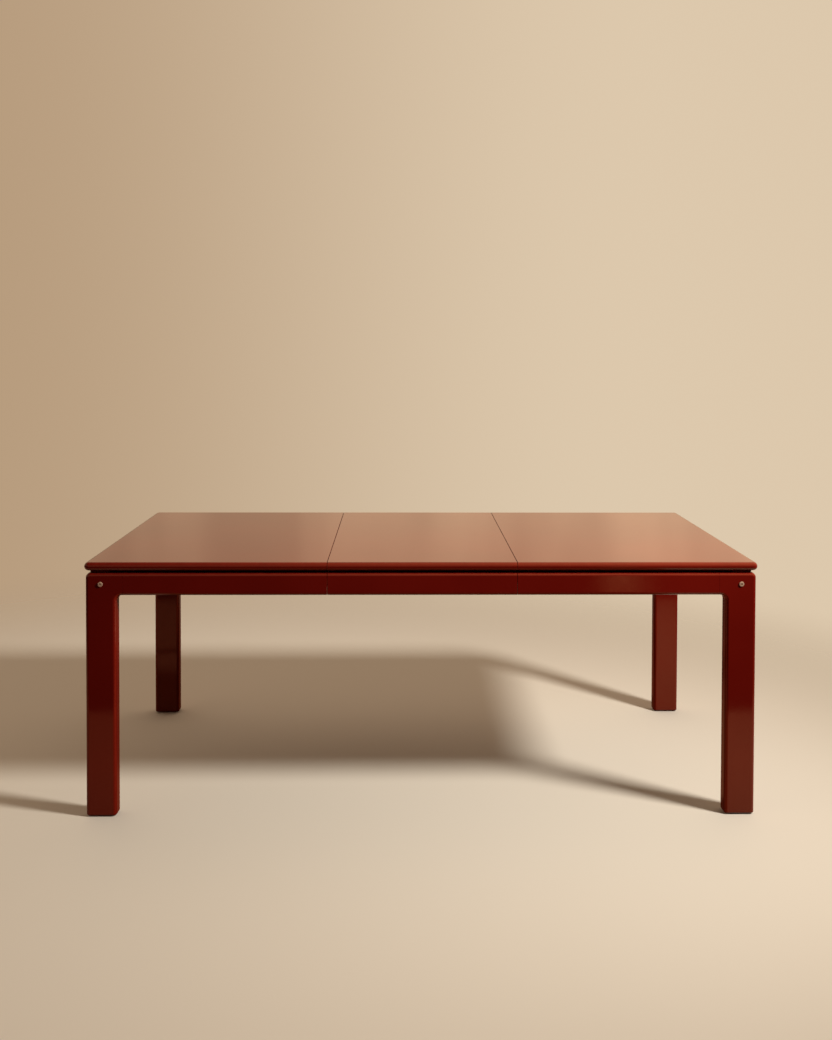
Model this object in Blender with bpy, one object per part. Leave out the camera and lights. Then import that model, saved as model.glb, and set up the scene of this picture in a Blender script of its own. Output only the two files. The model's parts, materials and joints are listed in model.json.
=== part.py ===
# Extending dining table: two half tables, a lift-out leaf and geared equaliser slides.
# Metres, +Z up. The origin is on the floor under the middle of the table, +X runs along
# its length and -Y is the front. The leaf is in place, as the table stands extended.

import math

import bmesh
import bpy
from mathutils import Vector

# The table as a whole
HEIGHT = 0.740
TOP_DEPTH = 0.900
HALF_LENGTH = 0.700
LEAF_LENGTH = 0.550
SEAM_GAP = 0.0014             # between a half and the leaf
FIT_GAP = 0.0003              # between pieces that touch
OPEN_TRAVEL = 0.050           # the halves draw this much further apart to free the leaf
HOLE_SPARE = 0.002            # a blind hole runs this much past what sits in it

# Tops
TOP_THICKNESS = 0.024
NOSE_FLAT = 0.0004            # flat left in the middle of the bullnose
TOP_CORNER_EASE = 0.004       # plan corner radius beyond the bullnose
TOP_OVERHANG = 0.0045
SHADOW_GAP = 0.006            # between the tops and the frames

# Portal frames
APRON_HEIGHT = 0.066
FRAME_THICKNESS = 0.045
LEG_WIDTH = 0.088
EDGE_RADIUS = 0.010
SHOULDER_EASE = 0.005         # shoulder radius beyond the edge radius
LEG_FILLET = 0.017
LEG_EAR = 0.003               # straight stub between the fillet and the apron's joint
FOOT_RADIUS = 0.006
TENON_LENGTH = 0.025
TENON_HEIGHT = 0.036
TENON_THICKNESS = 0.015

# End rails and cleats
RAIL_WIDTH = 0.045
RAIL_REBATE = 0.020           # from the rail's face to its tongue, which carries the top board
GAP_DEPTH = 0.012             # depth of the shadow gap over the legs and at the table's ends
CLEAT_WIDTH = 0.025
CLEAT_HEIGHT = 0.045
CLEAT_CHAMFER = 0.003
CLEAT_END_GAP = 0.001         # from a cleat to the seam
CLEAT_RAIL_GAP = 0.001        # from a cleat to the end rail

# Bolts, barrel nuts and glides
BOLT_RADIUS = 0.004
BOLT_TAIL = 0.008             # shank beyond the barrel nut
BOLT_CHAMFER = 0.001
BOLT_HEAD_RADIUS = 0.0072
BOLT_HEAD_HEIGHT = 0.0025
BOLT_HEAD_ROUND = 0.0015
SOCKET_ACROSS_FLATS = 0.005
SOCKET_DEPTH = 0.0025
NUT_RADIUS = 0.007
NUT_LENGTH = 0.026
NUT_INSET = 0.030             # from the rail's end to the nut's axis
NUT_SLOT_WIDTH = 0.002
NUT_SLOT_DEPTH = 0.002
GLIDE_RADIUS = 0.014
GLIDE_THICKNESS = 0.002
GLIDE_CHAMFER = 0.0008
GLIDE_STEM_RADIUS = 0.004
GLIDE_STEM_LENGTH = 0.014

# Slides
RUNNER_WIDTH = 0.028
RUNNER_HEIGHT = 0.040
RUNNER_GAP = 0.001            # between runners side by side
RUNNER_DROP = 0.0007          # the outer runners' tops lie below the carriage runner's
RUNNER_REACH = 0.120          # how far an outer runner passes the middle of the table
RUNNER_END_GAP = 0.020        # from an outer runner to the end rail
CLEAT_CLEARANCE = 0.010       # from a cleat to the nearest runner
DOVETAIL_DEPTH = 0.009
DOVETAIL_ROOT = 0.010
DOVETAIL_TIP = 0.016
DOVETAIL_CLEARANCE = 0.0005
CARRIAGE_TAIL = 0.0695        # carriage runner beyond the rack stop

# Leaf bearers and pegs
BEARER_HEIGHT = 0.020
BEARER_WIDTH = 0.040
BEARER_INSET = 0.095          # from the leaf's end to a bearer's centre line
BEARER_CHAMFER = 0.002
BEARER_CLEARANCE = 0.005      # to the packers when the table is closed without its leaf
PEG_RADIUS = 0.005
PEG_SET = 0.010               # depth of a peg in the leaf
PEG_DROP = 0.015              # length of a peg below the leaf
PEG_CHAMFER = 0.002
PEG_CLEARANCE = 0.0006
PEG_OFFSET = 0.200            # from the table's long centre line

# Racks and pinions
GEAR_MODULE = 0.0025
PINION_TEETH = 16
PINION_THICKNESS = 0.0055
PRESSURE_ANGLE = math.radians(20)
ADDENDUM = 0.8                # in modules
DEDENDUM = 1.0                # in modules
BACKLASH = 0.00035
RACK_THICKNESS = 0.006
RACK_BACK = 0.0095            # solid behind the teeth
RACK_SPARE = 0.030            # rack beyond the pinion at either end of the travel
AXLE_RADIUS = 0.003
AXLE_CLEARANCE = 0.0001
AXLE_HEAD_RADIUS = 0.006
AXLE_HEAD_HEIGHT = 0.0015
AXLE_SET = 0.015              # depth of the axle in the carriage runner
STOP_LENGTH = 0.020
STOP_CLEARANCE = 0.0005
STOP_EDGE = 0.002             # how far the stop stays inside what it covers

# Facets
ARC_STEPS = 6
NOSE_STEPS = 4
EDGE_STEPS = 4
FOOT_STEPS = 3
HEAD_STEPS = 3
ROUND_SIDES = 20
AXLE_SIDES = 24
SMOOTH_ANGLE = math.radians(35)

# Places along the length
seam_x = LEAF_LENGTH / 2 + SEAM_GAP
half_end_x = seam_x + HALF_LENGTH
leg_outer_x = half_end_x - TOP_OVERHANG
leg_centre_x = leg_outer_x - LEG_WIDTH / 2
leg_inner_x = leg_outer_x - LEG_WIDTH
ear_end_x = leg_inner_x - LEG_FILLET - LEG_EAR
rail_outer_x = leg_centre_x + RAIL_WIDTH / 2
rail_inner_x = leg_centre_x - RAIL_WIDTH / 2
runner_end_x = rail_inner_x - RUNNER_END_GAP
bearer_x = LEAF_LENGTH / 2 - BEARER_INSET
packer_start_x = bearer_x + BEARER_WIDTH / 2 + BEARER_CLEARANCE + LEAF_LENGTH / 2
rack_outer_x = LEAF_LENGTH / 2 + RACK_SPARE
rack_inner_x = OPEN_TRAVEL / 2 + RACK_SPARE
stop_x = rack_outer_x + OPEN_TRAVEL / 2 + STOP_CLEARANCE
carriage_end_x = stop_x + STOP_LENGTH + CARRIAGE_TAIL

# Places across the depth
frame_outer_y = TOP_DEPTH / 2 - TOP_OVERHANG
frame_inner_y = frame_outer_y - FRAME_THICKNESS
frame_middle_y = frame_outer_y - FRAME_THICKNESS / 2
cleat_middle_y = frame_inner_y - FIT_GAP - CLEAT_WIDTH / 2
cleat_inner_y = frame_inner_y - FIT_GAP - CLEAT_WIDTH
slide_y = cleat_inner_y - CLEAT_CLEARANCE - RUNNER_GAP - 1.5 * RUNNER_WIDTH
nut_y = frame_inner_y - NUT_INSET

# Places up the height
underside = HEIGHT - TOP_THICKNESS
seat_z = underside - FIT_GAP
frame_top = underside - SHADOW_GAP
apron_bottom = frame_top - APRON_HEIGHT
bolt_z = (frame_top + apron_bottom) / 2
foot_z = GLIDE_THICKNESS + FIT_GAP
carriage_top = seat_z - BEARER_HEIGHT - FIT_GAP
slide_bottom = carriage_top - RUNNER_HEIGHT
slide_middle = carriage_top - RUNNER_HEIGHT / 2
runner_top = carriage_top - RUNNER_DROP
gear_top = slide_bottom - FIT_GAP
pinion_bottom = gear_top - PINION_THICKNESS

# Sizes that follow from others
top_corner_radius = TOP_THICKNESS / 2 + TOP_CORNER_EASE
shoulder_radius = EDGE_RADIUS + SHOULDER_EASE
bolt_hole_radius = BOLT_RADIUS + FIT_GAP
bolt_reach = NUT_INSET + NUT_RADIUS + BOLT_TAIL
bolt_length = FRAME_THICKNESS + bolt_reach
runner_face = RUNNER_WIDTH / 2 + RUNNER_GAP
pitch_radius = GEAR_MODULE * PINION_TEETH / 2
tooth_pitch = math.pi * GEAR_MODULE
tooth_width = tooth_pitch / 2 - BACKLASH / 2
rack_root = pitch_radius + DEDENDUM * GEAR_MODULE
rack_back = rack_root + RACK_BACK


def clear_scene():
    for item in list(bpy.data.objects):
        bpy.data.objects.remove(item, do_unlink=True)


def surface(name, colour, roughness, metallic=0.0):
    made = bpy.data.materials.new(name)
    made.use_nodes = True
    shader = made.node_tree.nodes["Principled BSDF"]
    shader.inputs["Base Color"].default_value = (*colour, 1.0)
    shader.inputs["Roughness"].default_value = roughness
    shader.inputs["Metallic"].default_value = metallic
    return made


# Outlines

def arc(u, v, radius, start, end, steps=ARC_STEPS):
    angles = [math.radians(start + (end - start) * step / steps) for step in range(steps + 1)]
    return [(u + radius * math.cos(angle), v + radius * math.sin(angle)) for angle in angles]


def circle(u, v, radius, sides=ROUND_SIDES):
    return arc(u, v, radius, 0, 360, sides)[:-1]


def rectangle(u_low, v_low, u_high, v_high):
    return [(u_low, v_low), (u_high, v_low), (u_high, v_high), (u_low, v_high)]


# Solids

def prism(outline, axis, start, end):
    """Extrude an outline of (y, z), (x, z) or (x, y) points along X, Y or Z."""
    def point(u, v, w):
        return {"X": (w, u, v), "Y": (u, w, v), "Z": (u, v, w)}[axis]

    solid = bmesh.new()
    base = solid.faces.new([solid.verts.new(point(u, v, start)) for u, v in outline])
    swept = bmesh.ops.extrude_face_region(solid, geom=[base])["geom"]
    moved = [item for item in swept if isinstance(item, bmesh.types.BMVert)]
    bmesh.ops.translate(solid, verts=moved, vec=Vector(point(0, 0, end - start)))
    bmesh.ops.recalc_face_normals(solid, faces=solid.faces)
    return solid


def lathe(profile, sides=ROUND_SIDES):
    """Turn a profile of (radius, height) points about Z."""
    solid = bmesh.new()
    points = [solid.verts.new((radius, 0, height)) for radius, height in profile]
    edges = [solid.edges.new(pair) for pair in zip(points, points[1:])]
    bmesh.ops.spin(solid, geom=points + edges, axis=(0, 0, 1), cent=(0, 0, 0),
                   angle=math.tau, steps=sides, use_merge=True)
    bmesh.ops.remove_doubles(solid, verts=solid.verts, dist=1e-6)
    bmesh.ops.recalc_face_normals(solid, faces=solid.faces)
    return solid


def on_plane(edge, axis, place):
    return all(abs(vert.co[axis] - place) < 1e-6 for vert in edge.verts)


def round_edges(solid, is_chosen, radius, steps):
    chosen = [edge for edge in solid.edges if is_chosen(edge)]
    bmesh.ops.bevel(solid, geom=chosen, offset=radius, segments=steps, profile=0.5,
                    affect="EDGES", clamp_overlap=False)


def as_mesh(solid):
    mesh = bpy.data.meshes.new("piece")
    solid.to_mesh(mesh)
    solid.free()
    return mesh


def combine(mesh, tool, operation):
    """Cut a tool out of a mesh, or join it on, and return the new mesh."""
    target = bpy.data.objects.new("target", mesh)
    other = bpy.data.objects.new("tool", as_mesh(tool))
    for item in (target, other):
        bpy.context.collection.objects.link(item)
    boolean = target.modifiers.new("combine", "BOOLEAN")
    boolean.operation = operation
    boolean.object = other
    depsgraph = bpy.context.evaluated_depsgraph_get()
    result = bpy.data.meshes.new_from_object(target.evaluated_get(depsgraph))
    for item in (target, other):
        used = item.data
        bpy.data.objects.remove(item)
        bpy.data.meshes.remove(used)
    return result


def finished(solid, finish, cuts=(), joins=()):
    """Turn a solid into a smooth-shaded mesh with its joins, cuts and surface."""
    mesh = as_mesh(solid)
    for tool in joins:
        mesh = combine(mesh, tool, "UNION")
    for tool in cuts:
        mesh = combine(mesh, tool, "DIFFERENCE")
    mesh.materials.clear()
    mesh.materials.append(finish)
    mesh.shade_smooth()
    mesh.set_sharp_from_angle(angle=SMOOTH_ANGLE)
    return mesh


def empty(name, at=(0, 0, 0), turn=0.0):
    marker = bpy.data.objects.new(name, None)
    marker.location = at
    marker.rotation_euler.z = turn
    bpy.context.collection.objects.link(marker)
    return marker


def place(name, mesh, parent, at=(0, 0, 0), rotation=(0, 0, 0)):
    piece = bpy.data.objects.new(name, mesh)
    piece.parent = parent
    piece.location = at
    piece.rotation_euler = rotation
    bpy.context.collection.objects.link(piece)


# Tops

def nosed_slab(outline, seams):
    """A top board, bullnosed all round except along its seams."""
    slab = prism(outline, "Z", underside, HEIGHT)

    def is_nosed(edge):
        flat = on_plane(edge, 2, underside) or on_plane(edge, 2, HEIGHT)
        return flat and not any(on_plane(edge, 0, seam) for seam in seams)

    round_edges(slab, is_nosed, (TOP_THICKNESS - NOSE_FLAT) / 2, NOSE_STEPS)
    return slab


def half_top(finish):
    half_depth = TOP_DEPTH / 2
    corner_x = -half_end_x + top_corner_radius
    corner_y = half_depth - top_corner_radius
    outline = [(-seam_x, -half_depth), (-seam_x, half_depth)]
    outline += arc(corner_x, corner_y, top_corner_radius, 90, 180)
    outline += arc(corner_x, -corner_y, top_corner_radius, 180, 270)
    return finished(nosed_slab(outline, [-seam_x]), finish)


def leaf_top(finish):
    half_leaf = LEAF_LENGTH / 2
    outline = rectangle(-half_leaf, -TOP_DEPTH / 2, half_leaf, TOP_DEPTH / 2)
    holes = [
        prism(circle(x, y, PEG_RADIUS + FIT_GAP), "Z", underside - HOLE_SPARE,
              underside + PEG_SET + FIT_GAP)
        for x in (-bearer_x, bearer_x)
        for y in (-PEG_OFFSET, PEG_OFFSET)
    ]
    return finished(nosed_slab(outline, [-half_leaf, half_leaf]), finish, holes)


def leaf_peg(finish):
    profile = [
        (0, -PEG_DROP),
        (PEG_RADIUS - PEG_CHAMFER, -PEG_DROP),
        (PEG_RADIUS, -PEG_DROP + PEG_CHAMFER),
        (PEG_RADIUS, PEG_SET),
        (0, PEG_SET),
    ]
    return finished(lathe(profile), finish)


# Portal frames

def leg(finish):
    """A leg with the fillet and stub of the apron, drawn for the left end."""
    shoulder_x = -leg_outer_x + shoulder_radius
    shoulder_z = frame_top - shoulder_radius
    fillet_x = -leg_inner_x + LEG_FILLET
    fillet_z = apron_bottom - LEG_FILLET
    outline = [(-leg_outer_x, foot_z)]
    outline += arc(shoulder_x, shoulder_z, shoulder_radius, 180, 90)
    outline += [(-ear_end_x, frame_top), (-ear_end_x, apron_bottom)]
    outline += arc(fillet_x, fillet_z, LEG_FILLET, 90, 180)
    outline += [(-leg_inner_x, foot_z)]
    half_thickness = FRAME_THICKNESS / 2
    post = prism(outline, "Y", -half_thickness, half_thickness)

    def is_long(edge):
        on_face = on_plane(edge, 1, -half_thickness) or on_plane(edge, 1, half_thickness)
        return on_face and not on_plane(edge, 0, -ear_end_x) and not on_plane(edge, 2, foot_z)

    round_edges(post, is_long, EDGE_RADIUS, EDGE_STEPS)
    round_edges(post, lambda edge: on_plane(edge, 2, foot_z), FOOT_RADIUS, FOOT_STEPS)

    bolt_hole = prism(circle(-leg_centre_x, bolt_z, bolt_hole_radius), "Y",
                      -FRAME_THICKNESS, FRAME_THICKNESS)
    glide_hole = prism(circle(-leg_centre_x, 0, GLIDE_STEM_RADIUS + FIT_GAP), "Z",
                       0, GLIDE_THICKNESS + GLIDE_STEM_LENGTH + HOLE_SPARE)
    half_mortise = TENON_HEIGHT / 2 + FIT_GAP
    half_slot = TENON_THICKNESS / 2 + FIT_GAP
    mortise = prism(rectangle(-half_slot, bolt_z - half_mortise, half_slot, bolt_z + half_mortise),
                    "X", -ear_end_x - TENON_LENGTH - HOLE_SPARE, -ear_end_x + HOLE_SPARE)
    return finished(post, finish, [bolt_hole, glide_hole, mortise])


def apron_bar(start, end):
    """A stretch of apron with its four long edges rounded, centred on y = 0."""
    half_thickness = FRAME_THICKNESS / 2
    corner_y = half_thickness - EDGE_RADIUS
    low_z = apron_bottom + EDGE_RADIUS
    high_z = frame_top - EDGE_RADIUS
    outline = arc(corner_y, low_z, EDGE_RADIUS, -90, 0, EDGE_STEPS)
    outline += arc(corner_y, high_z, EDGE_RADIUS, 0, 90, EDGE_STEPS)
    outline += arc(-corner_y, high_z, EDGE_RADIUS, 90, 180, EDGE_STEPS)
    outline += arc(-corner_y, low_z, EDGE_RADIUS, 180, 270, EDGE_STEPS)
    return prism(outline, "X", start, end)


def half_apron(finish):
    """The apron of the left half, with the tenon that goes into its leg."""
    joint_x = -ear_end_x + FIT_GAP
    half_height = TENON_HEIGHT / 2
    half_width = TENON_THICKNESS / 2
    tenon = prism(rectangle(-half_width, bolt_z - half_height, half_width, bolt_z + half_height),
                  "X", joint_x - TENON_LENGTH, joint_x + TENON_LENGTH)
    return finished(apron_bar(joint_x, -seam_x), finish, joins=[tenon])


def leaf_apron(finish):
    return finished(apron_bar(-LEAF_LENGTH / 2, LEAF_LENGTH / 2), finish)


def cleat(start, end, finish):
    """A batten that fixes a top to its apron, centred on y = 0."""
    low_z = seat_z - CLEAT_HEIGHT
    half_width = CLEAT_WIDTH / 2
    batten = prism(rectangle(-half_width, low_z, half_width, seat_z), "X", start, end)

    def is_lower_arris(edge):
        return on_plane(edge, 2, low_z) and not on_plane(edge, 0, start) and not on_plane(edge, 0, end)

    round_edges(batten, is_lower_arris, CLEAT_CHAMFER, 1)
    return finished(batten, finish)


def end_rail(finish):
    """The rail between the two legs of the left end, with a board that runs over their tops."""
    inner_corner_x = -rail_inner_x - EDGE_RADIUS
    outer_corner_x = -rail_outer_x + EDGE_RADIUS
    low_corner_z = apron_bottom + EDGE_RADIUS
    rebate_x = -rail_outer_x + RAIL_REBATE
    outline = [(-rail_inner_x, seat_z), (rebate_x, seat_z), (rebate_x, frame_top)]
    outline += arc(outer_corner_x, frame_top - EDGE_RADIUS, EDGE_RADIUS, 90, 180, EDGE_STEPS)
    outline += arc(outer_corner_x, low_corner_z, EDGE_RADIUS, 180, 270, EDGE_STEPS)
    outline += arc(inner_corner_x, low_corner_z, EDGE_RADIUS, 270, 360, EDGE_STEPS)
    rail_end = frame_inner_y - FIT_GAP
    rail = prism(outline, "Y", -rail_end, rail_end)
    nut_hole_top = bolt_z + NUT_LENGTH / 2 + FIT_GAP
    holes = []
    for end in (-1, 1):
        hole_start = end * frame_outer_y
        hole_end = end * (frame_inner_y - bolt_reach - HOLE_SPARE)
        holes.append(prism(circle(-leg_centre_x, bolt_z, bolt_hole_radius), "Y",
                           min(hole_start, hole_end), max(hole_start, hole_end)))
        holes.append(prism(circle(-leg_centre_x, end * nut_y, NUT_RADIUS + FIT_GAP), "Z",
                           apron_bottom - HOLE_SPARE, nut_hole_top))
    board_x = -leg_outer_x + GAP_DEPTH
    board_y = frame_outer_y - GAP_DEPTH
    board = prism(rectangle(board_x, -board_y, -rail_inner_x, board_y), "Z", frame_top + FIT_GAP, seat_z)
    return finished(rail, finish, holes, [board])


# Bolts, barrel nuts and glides

def bolt(finish):
    """A connector bolt along Z, its head above z = 0 and a hexagon socket in it."""
    head_top = FIT_GAP + BOLT_HEAD_HEIGHT
    profile = [
        (0, -bolt_length),
        (BOLT_RADIUS - BOLT_CHAMFER, -bolt_length),
        (BOLT_RADIUS, -bolt_length + BOLT_CHAMFER),
        (BOLT_RADIUS, FIT_GAP),
        (BOLT_HEAD_RADIUS, FIT_GAP),
    ]
    profile += arc(BOLT_HEAD_RADIUS - BOLT_HEAD_ROUND, head_top - BOLT_HEAD_ROUND,
                   BOLT_HEAD_ROUND, 0, 90, HEAD_STEPS)
    profile += [(0, head_top)]
    across_corners = SOCKET_ACROSS_FLATS / math.cos(math.pi / 6)
    socket = prism(circle(0, 0, across_corners / 2, 6), "Z",
                   head_top - SOCKET_DEPTH, head_top + HOLE_SPARE)
    return finished(lathe(profile), finish, [socket])


def barrel_nut(finish):
    """A barrel nut standing on z, its cross hole along Y and a slot in its lower end."""
    half_length = NUT_LENGTH / 2
    barrel = prism(circle(0, 0, NUT_RADIUS), "Z", -half_length, half_length)
    cross_hole = prism(circle(0, 0, bolt_hole_radius), "Y", -NUT_RADIUS * 2, NUT_RADIUS * 2)
    half_slot = NUT_SLOT_WIDTH / 2
    slot = prism(rectangle(-half_slot, -NUT_LENGTH, half_slot, -half_length + NUT_SLOT_DEPTH),
                 "Y", -NUT_RADIUS * 2, NUT_RADIUS * 2)
    return finished(barrel, finish, [cross_hole, slot])


def glide(finish):
    stem_top = GLIDE_THICKNESS + GLIDE_STEM_LENGTH
    profile = [
        (0, 0),
        (GLIDE_RADIUS - GLIDE_CHAMFER, 0),
        (GLIDE_RADIUS, GLIDE_CHAMFER),
        (GLIDE_RADIUS, GLIDE_THICKNESS),
        (GLIDE_STEM_RADIUS, GLIDE_THICKNESS),
        (GLIDE_STEM_RADIUS, stem_top - GLIDE_CHAMFER),
        (GLIDE_STEM_RADIUS - GLIDE_CHAMFER, stem_top),
        (0, stem_top),
    ]
    return finished(lathe(profile), finish)


# Slides, drawn about the carriage runner's centre line

def outer_runner(finish):
    """The left half's runner, on the -Y side, with a dovetail groove facing the carriage."""
    far_side = runner_face + RUNNER_WIDTH
    flare = (DOVETAIL_TIP - DOVETAIL_ROOT) / 2 / DOVETAIL_DEPTH
    groove_depth = DOVETAIL_DEPTH + DOVETAIL_CLEARANCE
    mouth = DOVETAIL_ROOT / 2 + flare * RUNNER_GAP + DOVETAIL_CLEARANCE
    floor = DOVETAIL_ROOT / 2 + flare * groove_depth + DOVETAIL_CLEARANCE
    groove_y = RUNNER_WIDTH / 2 + groove_depth
    outline = [
        (-runner_face, slide_bottom),
        (-runner_face, slide_middle - mouth),
        (-groove_y, slide_middle - floor),
        (-groove_y, slide_middle + floor),
        (-runner_face, slide_middle + mouth),
        (-runner_face, runner_top),
        (-far_side, runner_top),
        (-far_side, slide_bottom),
    ]
    return finished(prism(outline, "X", -runner_end_x, RUNNER_REACH), finish)


def runner_packer(finish):
    """The block between an outer runner and the top that it carries."""
    outline = rectangle(-runner_face - RUNNER_WIDTH, runner_top + FIT_GAP, -runner_face, seat_z)
    return finished(prism(outline, "X", -runner_end_x, -packer_start_x), finish)


def carriage_runner(finish):
    """The middle runner, with a dovetail tongue on each side and the axle's hole below."""
    half_width = RUNNER_WIDTH / 2
    tip_y = half_width + DOVETAIL_DEPTH
    half_root = DOVETAIL_ROOT / 2
    half_tip = DOVETAIL_TIP / 2
    right_side = [
        (half_width, slide_bottom),
        (half_width, slide_middle - half_root),
        (tip_y, slide_middle - half_tip),
        (tip_y, slide_middle + half_tip),
        (half_width, slide_middle + half_root),
        (half_width, carriage_top),
    ]
    left_side = [(-y, z) for y, z in reversed(right_side)]
    bar = prism(right_side + left_side, "X", -carriage_end_x, carriage_end_x)
    axle_hole = prism(circle(0, 0, AXLE_RADIUS + AXLE_CLEARANCE, AXLE_SIDES), "Z",
                      slide_bottom - HOLE_SPARE, slide_bottom + AXLE_SET + HOLE_SPARE)
    return finished(bar, finish, [axle_hole])


def leaf_bearer(finish):
    """A cross bar on the two carriage runners, with sockets for the leaf's pegs."""
    half_width = BEARER_WIDTH / 2
    reach = slide_y + RUNNER_WIDTH / 2
    low_z = carriage_top + FIT_GAP
    bar = prism(rectangle(-half_width, low_z, half_width, seat_z), "Y", -reach, reach)

    def is_upper_arris(edge):
        return on_plane(edge, 2, seat_z) and not on_plane(edge, 1, -reach) and not on_plane(edge, 1, reach)

    round_edges(bar, is_upper_arris, BEARER_CHAMFER, 1)
    sockets = [
        prism(circle(0, y, PEG_RADIUS + PEG_CLEARANCE), "Z", low_z - HOLE_SPARE, seat_z + HOLE_SPARE)
        for y in (-PEG_OFFSET, PEG_OFFSET)
    ]
    return finished(bar, finish, sockets)


def rack(finish):
    """The left half's rack, on the pinion's -Y side, with a tooth gap at x = 0."""
    lean = math.tan(PRESSURE_ANGLE) * GEAR_MODULE
    half_tip = tooth_width / 2 - ADDENDUM * lean
    half_root = tooth_width / 2 + DEDENDUM * lean
    tip = pitch_radius - ADDENDUM * GEAR_MODULE
    first = math.ceil(-rack_outer_x / tooth_pitch)
    last = math.floor(rack_inner_x / tooth_pitch)
    outline = [(-rack_outer_x, -rack_back), (-rack_outer_x, -rack_root)]
    for gap in range(first, last):
        middle = (gap + 0.5) * tooth_pitch
        outline += [
            (middle - half_root, -rack_root),
            (middle - half_tip, -tip),
            (middle + half_tip, -tip),
            (middle + half_root, -rack_root),
        ]
    outline += [(rack_inner_x, -rack_root), (rack_inner_x, -rack_back)]
    return finished(prism(outline, "Z", gear_top - RACK_THICKNESS, gear_top), finish)


def pinion(finish):
    """A spur pinion about Z with involute teeth, one of them pointing at each rack."""
    base_radius = pitch_radius * math.cos(PRESSURE_ANGLE)
    tip_radius = pitch_radius + ADDENDUM * GEAR_MODULE
    root_radius = pitch_radius - DEDENDUM * GEAR_MODULE

    def involute(radius):
        angle = math.acos(min(1.0, base_radius / radius))
        return math.tan(angle) - angle

    def half_angle(radius):
        return tooth_width / 2 / pitch_radius + involute(pitch_radius) - involute(radius)

    flank = [(radius, half_angle(radius)) for radius in (root_radius, base_radius, pitch_radius, tip_radius)]
    outline = []
    for tooth in range(PINION_TEETH):
        middle = math.pi / 2 + math.tau * tooth / PINION_TEETH
        rising = [(radius, middle - angle) for radius, angle in flank]
        falling = [(radius, middle + angle) for radius, angle in reversed(flank)]
        outline += [(r * math.cos(a), r * math.sin(a)) for r, a in rising + falling]
    half_thickness = PINION_THICKNESS / 2
    bore = prism(circle(0, 0, AXLE_RADIUS + AXLE_CLEARANCE, AXLE_SIDES), "Z",
                 -PINION_THICKNESS, PINION_THICKNESS)
    return finished(prism(outline, "Z", -half_thickness, half_thickness), finish, [bore])


def pinion_axle(finish):
    """A headed pin up through the pinion into the carriage runner."""
    head_top = pinion_bottom - FIT_GAP
    profile = [
        (0, head_top - AXLE_HEAD_HEIGHT),
        (AXLE_HEAD_RADIUS, head_top - AXLE_HEAD_HEIGHT),
        (AXLE_HEAD_RADIUS, head_top),
        (AXLE_RADIUS, head_top),
        (AXLE_RADIUS, slide_bottom + AXLE_SET),
        (0, slide_bottom + AXLE_SET),
    ]
    return finished(lathe(profile, AXLE_SIDES), finish)


def rack_stop(finish):
    """A block under the carriage runner that the left rack's outer end meets when open."""
    outline = rectangle(-stop_x - STOP_LENGTH, -rack_back + STOP_EDGE, -stop_x, RUNNER_WIDTH / 2 - STOP_EDGE)
    return finished(prism(outline, "Z", gear_top - RACK_THICKNESS, gear_top), finish)


# Assembly

def build_halves(lacquer, batten, beech, steel, gear_steel, nylon):
    """Both half tables: the right one is the left one turned half a turn about Z."""
    cleat_start = -rail_inner_x + CLEAT_RAIL_GAP
    cleat_end = -seam_x - CLEAT_END_GAP
    top = half_top(lacquer)
    rail = end_rail(lacquer)
    by_end = {
        "leg": (leg(lacquer), frame_middle_y),
        "apron": (half_apron(lacquer), frame_middle_y),
        "cleat": (cleat(cleat_start, cleat_end, batten), cleat_middle_y),
        "runner": (outer_runner(beech), slide_y),
        "runner_packer": (runner_packer(beech), slide_y),
        "rack": (rack(gear_steel), slide_y),
    }
    leg_bolt = bolt(steel)
    leg_nut = barrel_nut(gear_steel)
    foot_glide = glide(nylon)
    for side, turn in (("left", 0.0), ("right", math.pi)):
        half = empty(f"{side}_half", turn=turn)
        place(f"{side}_top", top, half)
        place(f"{side}_end_rail", rail, half)
        ends = ("front", "back") if side == "left" else ("back", "front")
        for end, sign in zip(ends, (-1, 1)):
            name = f"{side}_{end}"
            for piece, (mesh, distance) in by_end.items():
                place(f"{name}_{piece}", mesh, half, (0, sign * distance, 0))
            place(f"{name}_bolt", leg_bolt, half, (-leg_centre_x, sign * frame_outer_y, bolt_z),
                  (-sign * math.pi / 2, 0, 0))
            place(f"{name}_barrel_nut", leg_nut, half, (-leg_centre_x, sign * nut_y, bolt_z))
            place(f"{name}_glide", foot_glide, half, (-leg_centre_x, sign * frame_middle_y, 0))


def build_carriage(beech, gear_steel):
    """The middle runners, leaf bearers, stops and pinions that follow at half speed."""
    carriage = empty("leaf_carriage")
    bar = carriage_runner(beech)
    axle = pinion_axle(gear_steel)
    stop = rack_stop(beech)
    gear = pinion(gear_steel)
    for end, sign, turn in (("front", -1, 0.0), ("back", 1, math.pi)):
        middle = (0, sign * slide_y, 0)
        place(f"{end}_carriage_runner", bar, carriage, middle)
        place(f"{end}_pinion_axle", axle, carriage, middle)
        place(f"{end}_rack_stop", stop, carriage, middle, (0, 0, turn))
        pivot = empty(f"{end}_gear", (0, sign * slide_y, gear_top - PINION_THICKNESS / 2))
        place(f"{end}_pinion", gear, pivot)
    bearer = leaf_bearer(beech)
    for side, sign in (("left", -1), ("right", 1)):
        place(f"{side}_leaf_bearer", bearer, carriage, (sign * bearer_x, 0, 0))


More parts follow.
